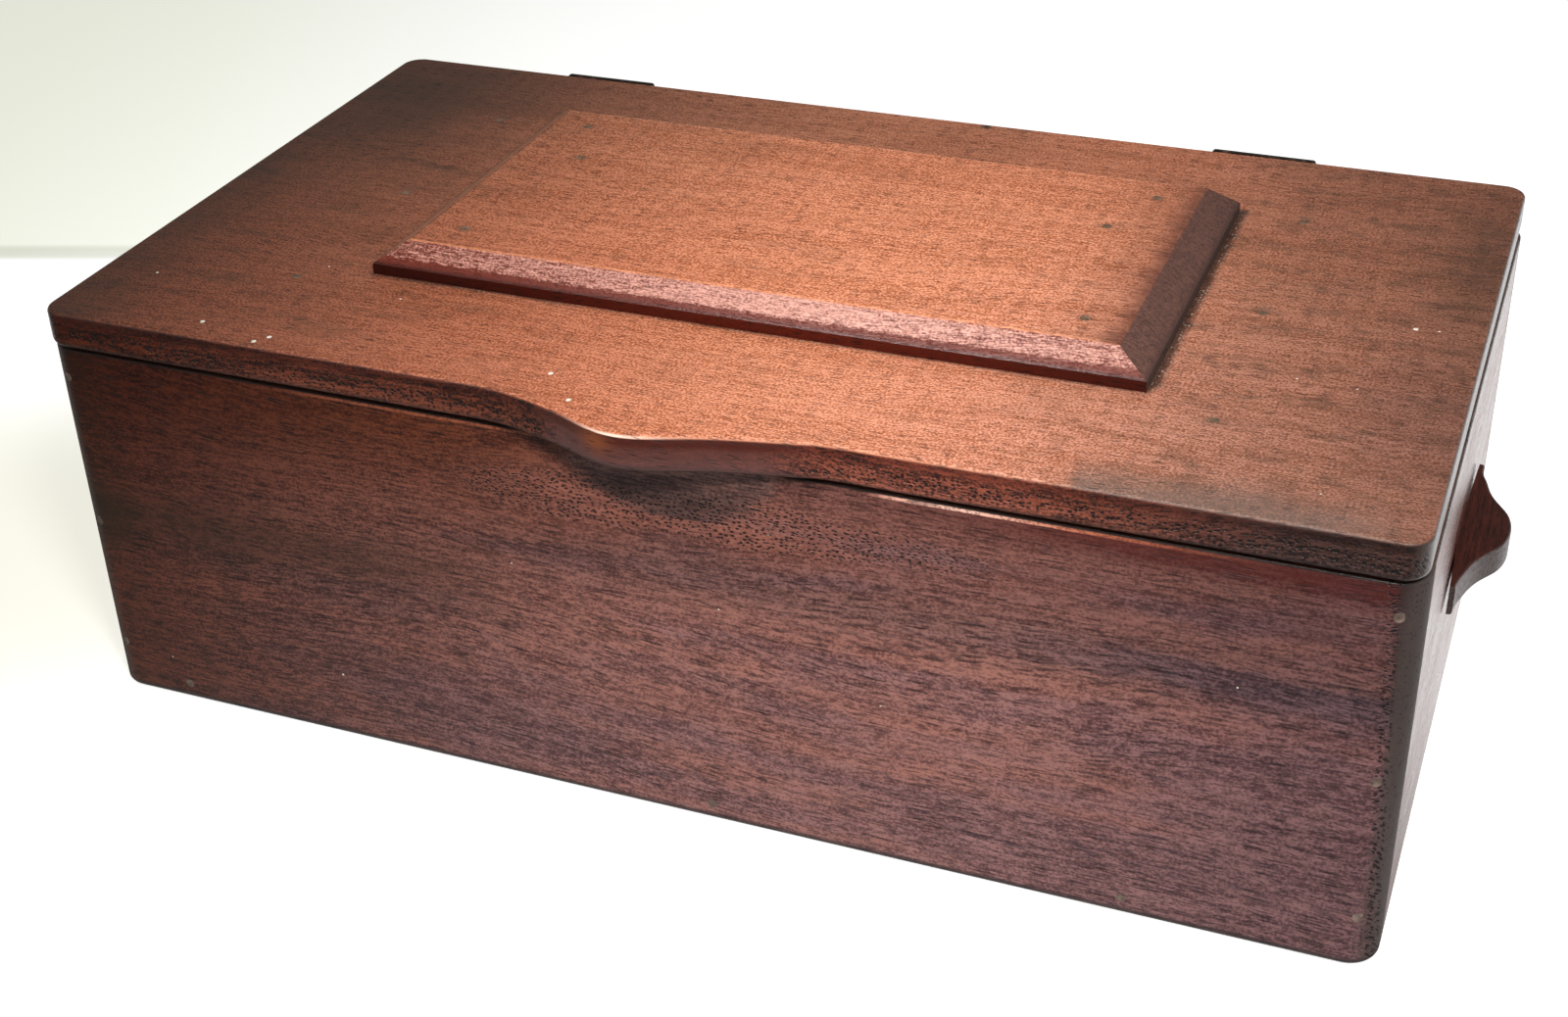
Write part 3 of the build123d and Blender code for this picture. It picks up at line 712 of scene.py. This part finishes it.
panel_band_deep = (0.020, 0.0018, 0.0010, 1.0)
panel_band_pale = (0.085, 0.0080, 0.0030, 1.0)
panel_tint = (1.11, 1.10, 1.08, 1.0)
panel_bevel_deep = (0.125, 0.0160, 0.0060, 1.0)
panel_bevel_sheen = (0.570, 0.2800, 0.2230, 1.0)
panel_end_deep = (0.050, 0.0150, 0.0095, 1.0)
panel_end_pale = (0.145, 0.0530, 0.0370, 1.0)
panel_arris_highlight = (0.640, 0.2600, 0.1350, 1.0)
panel_nail_places = [(73.0, 33.8), (-71.0, 33.8), (73.0, -30.2), (-71.0, -30.2), (66.0, 15.3), (-64.0, 15.3)]
panel_gloss = 0.26


def panel_wood(wood, spot):
    """Top coloured like the lid, partly by wear and partly by painted light, with a painted highlight along
    its arrises but a painted shade line at the left. Front bevel redder and more open, with a painted sheen,
    right bevel and edge band dark."""
    colour = wood.tint(1.0, lid_wear_and_painted_light(wood, spot), panel_tint)
    colour = wood.mix(marks_at(spot, panel_nail_places, 2.2, 1.4) * 0.45, colour, nail_halo)
    slope = spot.nz.rise(0.93, 0.80)
    along_y = (spot.ny * spot.ny).rise(0.10, 0.30)
    toward = spot.x + (spot.smudge - 0.5) * 6.0 + (spot.speck - 0.5) * 5.0
    inner = (toward.rise(64.0, 86.0) * 0.38 + toward.rise(78.0, 84.0) * 0.60) * (1 - slope * along_y)
    # painted highlight: a pale line along the panel's arrises
    turned = spot.nz.rise(0.998, 0.975) * (1 - inner)
    left_arris = spot.nx.rise(-0.04, -0.12) * spot.nx.rise(-0.36, -0.28)
    colour = wood.mix(turned * (1 - left_arris) * 0.45, colour, panel_arris_highlight)
    # painted shade: a dark line along the left arris, where the bevel turns away
    colour = wood.mix(left_arris * 0.60, colour, olive_grime_and_shade)
    # painted sheen: pale pink ribs on the front bevel, brightest in its middle and top, fading to dark red
    # below
    drop = spot.z.rise(106.3, 105.2)
    dashes = cloud(wood, spot.grain, (2.6, 0.22, 0.22), 1.0)
    ribs = dashes.rise(0.32, 0.68) * 0.42 + spot.figure(0.0, 0.10, 0.12, 0.34)
    shine = (ribs - drop * 0.90 + bell(spot.x, 15.0, 55.0) * 0.30 - 0.19).rise(0.02, 0.78)
    bevel = wood.mix(shine, panel_bevel_deep, panel_bevel_sheen)
    away_left = spot.nx.rise(-0.10, -0.40)
    colour = wood.mix(slope * (1 - away_left), colour, bevel)
    end = spot.nx.rise(0.20, 0.50)
    end_figure = spot.figure(0.10, 0.30, 0.30, 0.30).rise(0.15, 0.85)
    end_brown = wood.mix(end_figure, panel_end_deep, panel_end_pale)
    colour = wood.mix((end * 0.94).larger(inner), colour, end_brown)
    band = spot.z.rise(105.5, 104.3)
    lit_middle = bell(spot.x, 18.0, 66.0) * (0.25 + ribs * 0.75)
    colour = wood.mix(band, colour, wood.mix(lit_middle, panel_band_deep, panel_band_pale))
    coarse = slope * along_y * (1 - band) * 0.35
    rough = 0.47 + spot.streak * 0.08 - slope * along_y * (0.17 - drop * 0.05) - band * 0.1
    rough = rough + end * 0.35 + away_left * 0.40
    return colour, coarse, rough


dress_node(mahogany("panel_polish", panel_wood, shift=(160.0, 60.0, 31.0), pore=lid_pores, end_rough=0.0,
                    gloss=panel_gloss), "raised_panel")

# The battens: two flat strips across the inside of the lid, nailed on to keep it from warping.
# Bare wood, with their grain running front to back.

dress_node(mahogany("bare_batten_wood", bare_wood, quarter_turn, (20.0, 90.0, 12.0), along="y"),
           "left_batten", "right_batten")

# The nails of the lid: the same brass pins through the panel and through the lid into the
# battens, their heads full of old polish.

lid_nail_old = (0.150, 0.085, 0.052, 1.0)
lid_nail_rubbed = (0.270, 0.170, 0.110, 1.0)
lid_nail_grime_share = 0.40

lid_brass = nail_finish("grimy_brass", lid_nail_old, lid_nail_rubbed, lid_nail_grime_share)
dress_node(lid_brass, "panel_nails", "batten_nails")

# The hinges: two small butt hinges of pressed steel, 1 inch long, with a rolled knuckle, a wire
# pin and slotted screws. The steel has gone dark brown, with patches of rust.

dark_steel = (0.060, 0.055, 0.050, 1.0)
worn_steel = (0.230, 0.215, 0.200, 1.0)
rust_brown = (0.110, 0.045, 0.020, 1.0)


def steel_finish(name, worn_share, roughness):
    """Old steel: noise lays worn bright metal on the dark skin, and rust over both."""
    material, metal = new_finish(name)
    place = in_millimetres(metal)
    worn = cloud(metal, place, (3.0, 1.2, 1.2), 3.0)
    rusty = cloud(metal, place, (1.6, 1.6, 1.6), 4.0, 0.6)
    colour = metal.mix(worn.rise(0.75 - worn_share * 0.5, 0.95 - worn_share * 0.5), dark_steel, worn_steel)
    rust = rusty.rise(0.52, 0.68)
    colour = metal.mix(rust * 0.8, colour, rust_brown)
    bump = metal.node("Bump", {}, {"Strength": 0.5, "Distance": 0.00008, "Height": rusty}, output="Normal")
    face = metal.node("BsdfPrincipled", {}, {"Base Color": colour, "Metallic": 1.0 - rust * 0.85,
                                             "Roughness": rust * 0.3 + roughness, "Normal": bump})
    set_surface(metal, face)
    return material


leaf_steel = steel_finish("hinge_steel", worn_share=0.35, roughness=0.42)
dress_node(leaf_steel, "left_hinge_box_leaf", "right_hinge_box_leaf",
           "left_hinge_lid_leaf", "right_hinge_lid_leaf")
turned_steel = steel_finish("pin_and_screw_steel", worn_share=0.6, roughness=0.34)
dress_node(turned_steel, "left_hinge_pin", "right_hinge_pin",
           "hinge_box_screws", "hinge_lid_screws", "left_ear_screws", "right_ear_screws")
